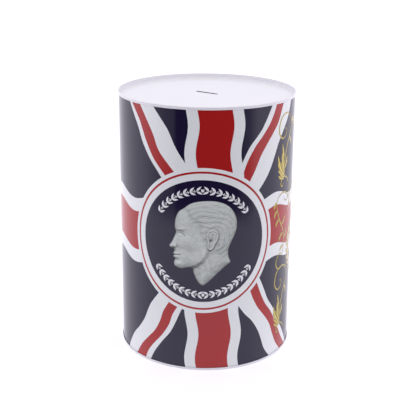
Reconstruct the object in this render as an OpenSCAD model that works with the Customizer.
// Sealed tin money box: a round three-piece can of printed tinplate.
// A rolled and welded body is closed by two pressed ends, each locked on by a
// double seam. Coins go in through a slot in the top end.
// Z is up, the front of the printed body faces -Y, and the origin is at the
// centre of the base, on the plane that the can stands on.

/* [Can] */
// Diameter over the double seams
can_d = 200; // [120:1:240]
// Height over the double seams
can_h = 300; // [80:1:360]

/* [Tinplate] */
// Thickness of the body sheet
body_t = 0.2; // [0.16:0.01:0.24]
// Thickness of the two ends
end_t = 0.22; // [0.18:0.01:0.26]
// Width of the mash weld down the body
weld_w = 1; // [0.6:0.1:2]
// How far the weld stands proud of the sheet, inside and outside
weld_proud = 0.06; // [0.04:0.01:0.08]

/* [Double seam] */
// Height of the seam band on the outside
seam_h = 3; // [2.8:0.1:3.6]
// Clearance between the folded layers
seam_gap = 0.1; // [0.08:0.01:0.12]
// Outside radius of the bends at the seam's crown
crown_r = 0.45; // [0.35:0.05:0.55]
// Room for the lining compound between the body hook and the end
compound_room = 0.45; // [0.4:0.05:0.6]

/* [Ends] */
// Depth of the sunk panel below the crown of the seam
countersink = 4.4; // [3.8:0.1:6]
// Inside radius where the chuck wall turns into the panel
panel_r = 1; // [0.6:0.1:1.6]

/* [Coin slot] */
// Length of the slot over its round ends
slot_l = 29; // [24:0.5:36]
// Width of the slot
slot_w = 3.6; // [2.5:0.1:4]
// Turn of the slot in plan, from left to right
slot_turn = -34; // [-90:1:90]

/* [Hidden] */
$fn = 96;
bend_steps = 6;    // flats in a bend of the sheet
slot_steps = 12;   // flats round each end of the slot
cut = 1;           // how far a cutter runs past what it cuts

// Radius of the middle of each layer at the seam, counted from the outside in
wall_r = can_d / 2 - end_t / 2;                            // seaming wall of the end
body_hook_r = wall_r - end_t / 2 - seam_gap - body_t / 2;  // hook of the body
end_hook_r = body_hook_r - body_t / 2 - seam_gap - end_t / 2;  // hook of the end
body_r = end_hook_r - end_t / 2 - seam_gap - body_t / 2;   // wall of the body
chuck_r = body_r - body_t / 2 - seam_gap - end_t / 2;      // chuck wall of the end

// Bend radii, taken to the middle of the sheet
crown_mid = crown_r - end_t / 2;
end_fold = (wall_r - end_hook_r) / 2;
body_fold = (body_hook_r - body_r) / 2;
panel_mid = panel_r + end_t / 2;

// Depths below the crown of the seam, to the middle of the sheet
crown_z = end_t / 2;
body_fold_z = end_t + compound_room + body_t / 2 + body_fold;
end_fold_z = seam_h - end_t / 2 - end_fold;
end_tip_z = body_fold_z + 0.2 * end_fold;
body_tip_z = end_fold_z + 0.1 * end_fold;
panel_z = countersink + end_t / 2;

// Section of the lining compound, which lies in the crown over the body hook
compound_in = chuck_r + end_t / 2 + 2 * seam_gap;
compound_out = wall_r - end_t / 2 - 2 * seam_gap;
compound_top = end_t + seam_gap;
compound_low = end_t + compound_room - seam_gap;

// A bend about c from angle a0 to angle a1
function bend(c, r, a0, a1) =
    [for (i = [0:bend_steps]) let (a = a0 + (a1 - a0) * i / bend_steps) c + r * [cos(a), sin(a)]];

// Thickens a path of points into the outline of a sheet of thickness t
function unit(v) = v / norm(v);
function left(v) = [-v[1], v[0]];
function mitre(p, i) =
    let (last = len(p) - 1,
         a = left(unit(p[max(i, 1)] - p[max(i, 1) - 1])),
         b = left(unit(p[min(i, last - 1) + 1] - p[min(i, last - 1)])),
         m = unit(a + b))
    m / (m * a);
function sheet(p, t) = concat(
    [for (i = [0:len(p) - 1]) p[i] + mitre(p, i) * t / 2],
    [for (i = [len(p) - 1:-1:0]) p[i] - mitre(p, i) * t / 2]);

// Path of the body hook, from the wall outwards and down, for a crown at height 0
body_hook_path = concat(
    bend([(body_r + body_hook_r) / 2, -body_fold_z], body_fold, 180, 0),
    [[body_hook_r, -body_tip_z]]);

// Path of an end, from near its centre out to the tip of its hook
end_path = concat(
    bend([chuck_r - panel_mid, -panel_z + panel_mid], panel_mid, -90, 0),
    bend([chuck_r + crown_mid, -crown_z - crown_mid], crown_mid, 180, 90),
    bend([wall_r - crown_mid, -crown_z - crown_mid], crown_mid, 90, 0),
    bend([(wall_r + end_hook_r) / 2, -end_fold_z], end_fold, 0, -180),
    [[end_hook_r, -end_tip_z]]);

// Outline of a slot with round ends
function slot_outline(l, w) = concat(
    [for (i = [0:slot_steps]) let (a = -90 + 180 * i / slot_steps) [(l - w) / 2, 0] + w / 2 * [cos(a), sin(a)]],
    [for (i = [0:slot_steps]) let (a = 90 + 180 * i / slot_steps) [-(l - w) / 2, 0] + w / 2 * [cos(a), sin(a)]]);

// A pressed end with its crown at height 0, panel sunk below it and hook turned in
module pressed_end() {
    outline = sheet(end_path, end_t);
    bottom = -panel_z - end_t / 2;
    rotate_extrude()
        polygon(concat([[0, bottom + end_t], [0, bottom]],
            [for (i = [len(outline) - 1:-1:0]) outline[i]]));
}

// Turns what is made for the top seam over for the base seam
module at_base() {
    mirror([0, 0, 1]) children();
}

// Rolled body sheet with a hook at each end and the weld down the left side
module body_shell() {
    top_hook = [for (p = body_hook_path) [p[0], p[1] + can_h]];
    base_hook = [for (i = [len(body_hook_path) - 1:-1:0]) [body_hook_path[i][0], -body_hook_path[i][1]]];
    weld_t = body_t + 2 * weld_proud;
    weld_margin = seam_h + seam_gap;
    color("midnightblue") {
        rotate_extrude()
            polygon(sheet(concat(base_hook, top_hook), body_t));
        translate([-body_r - weld_t / 2, -weld_w / 2, weld_margin])
            cube([weld_t, weld_w, can_h - 2 * weld_margin]);
    }
}

// Top end, pierced with the coin slot
module top_end() {
    color("white")
        translate([0, 0, can_h])
            difference() {
                pressed_end();
                rotate(slot_turn)
                    translate([0, 0, -countersink - end_t - cut])
                        linear_extrude(end_t + 2 * cut)
                            polygon(slot_outline(slot_l, slot_w));
            }
}

// Base end, from the same press tool, without the slot
module base_end() {
    color("gainsboro")
        at_base() pressed_end();
}

// Ring of lining compound under the crown of a seam
module compound_ring() {
    color("lightgrey")
        rotate_extrude()
            polygon([[compound_in, -compound_low], [compound_out, -compound_low],
                [compound_out, -compound_top], [compound_in, -compound_top]]);
}

// Lining compound in the top seam
module top_seam_compound() {
    translate([0, 0, can_h]) compound_ring();
}

// Lining compound in the base seam
module base_seam_compound() {
    at_base() compound_ring();
}

body_shell();
top_end();
base_end();
top_seam_compound();
base_seam_compound();
